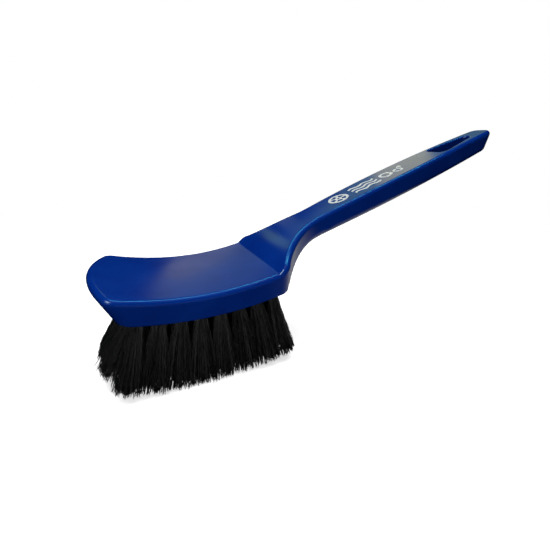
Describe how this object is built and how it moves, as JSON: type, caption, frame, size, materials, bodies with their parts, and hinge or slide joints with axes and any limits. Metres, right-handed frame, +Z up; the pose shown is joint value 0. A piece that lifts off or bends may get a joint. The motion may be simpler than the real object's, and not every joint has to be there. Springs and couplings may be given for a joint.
{
  "type": "wheel brush",
  "caption": "Short-handled wheel brush: a concave moulded block with black bristle tufts underneath, running into an angled handle with a hang hole at its tip.",
  "frame": {"origin": "centre of the bottom of the whole brush's box: level with the lowest bristle tips, halfway along the brush, on its middle line", "axes": "+X from the block towards the handle's tip, +Y across the brush, +Z up, away from the bristles"},
  "size_m": [0.2432, 0.061, 0.1166],
  "materials": {
    "blue_plastic": "glossy moulded polypropylene",
    "bristle_nylon": "black nylon filament",
    "anchor_wire": "drawn flat wire"
  },
  "bodies": {
    "root": {"handle_block": "blue_plastic", "tuft_a2": "bristle_nylon", "tuft_a3": "bristle_nylon", "tuft_a4": "bristle_nylon", "tuft_a5": "bristle_nylon", "tuft_a6": "bristle_nylon", "tuft_a7": "bristle_nylon", "tuft_a8": "bristle_nylon", "tuft_a9": "bristle_nylon", "tuft_b1": "bristle_nylon", "tuft_b2": "bristle_nylon", "tuft_b3": "bristle_nylon", "tuft_b4": "bristle_nylon", "tuft_b5": "bristle_nylon", "tuft_b6": "bristle_nylon", "tuft_b7": "bristle_nylon", "tuft_b8": "bristle_nylon", "tuft_b9": "bristle_nylon", "tuft_c1": "bristle_nylon", "tuft_c2": "bristle_nylon", "tuft_c3": "bristle_nylon", "tuft_c4": "bristle_nylon", "tuft_c5": "bristle_nylon", "tuft_c6": "bristle_nylon", "tuft_c7": "bristle_nylon", "tuft_c8": "bristle_nylon", "tuft_c9": "bristle_nylon", "tuft_d1": "bristle_nylon", "tuft_d2": "bristle_nylon", "tuft_d3": "bristle_nylon", "tuft_d4": "bristle_nylon", "tuft_d5": "bristle_nylon", "tuft_d6": "bristle_nylon", "tuft_d7": "bristle_nylon", "tuft_d8": "bristle_nylon", "tuft_d9": "bristle_nylon", "tuft_e2": "bristle_nylon", "tuft_e3": "bristle_nylon", "tuft_e4": "bristle_nylon", "tuft_e5": "bristle_nylon", "tuft_e6": "bristle_nylon", "tuft_e7": "bristle_nylon", "tuft_e8": "bristle_nylon", "tuft_e9": "bristle_nylon", "wire_anchors": "anchor_wire"}
  },
  "joints": []
}
